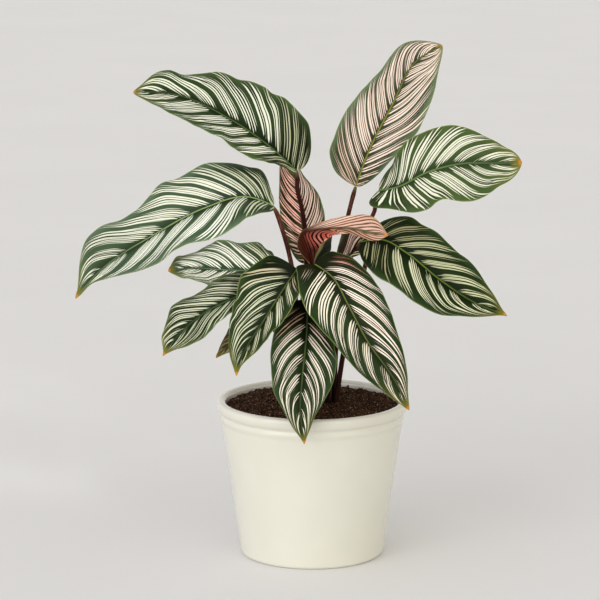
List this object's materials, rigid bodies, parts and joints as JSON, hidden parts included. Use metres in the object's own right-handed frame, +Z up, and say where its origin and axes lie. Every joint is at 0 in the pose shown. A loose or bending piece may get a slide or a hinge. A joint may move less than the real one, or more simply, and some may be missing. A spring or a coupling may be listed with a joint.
{
  "type": "pinstripe calathea",
  "caption": "Upright potted foliage plant: broad dark green blades with fine pale pinstripes on slim brown stems, in a smooth glazed pot with a rolled lip.",
  "frame": {"origin": "centre of the pot's flat base, on the surface that it stands on", "axes": "+Z up through the pot; -Y towards the open side of the plant, where its blades face; +X to the right seen from there"},
  "size_m": [0.4381, 0.2208, 0.5119],
  "materials": {
    "pot": "glossy ivory glaze",
    "soil": "matt, crumbly, dark brown",
    "blade": "satin dark green with fine cream and pink stripes",
    "young_blade": "satin pink with dark stripes",
    "stem": "satin reddish brown"
  },
  "bodies": {
    "root": {"pot": "pot", "soil": "soil", "blade_top_left": "blade", "blade_mid_left": "blade", "blade_small_left": "blade", "blade_low_left": "blade", "blade_under_left": "blade", "blade_front_left": "blade", "blade_front_middle": "blade", "blade_front_right": "blade", "blade_right": "blade", "blade_upper_right": "blade", "blade_top_right": "blade", "blade_back_middle": "blade", "blade_back_right": "blade", "blade_furled": "young_blade", "stem_top_left": "stem", "stem_mid_left": "stem", "stem_small_left": "stem", "stem_low_left": "stem", "stem_under_left": "stem", "stem_front_left": "stem", "stem_front_middle": "stem", "stem_front_right": "stem", "stem_right": "stem", "stem_upper_right": "stem", "stem_top_right": "stem", "stem_back_middle": "stem", "stem_back_right": "stem", "stem_furled": "stem"}
  },
  "joints": []
}
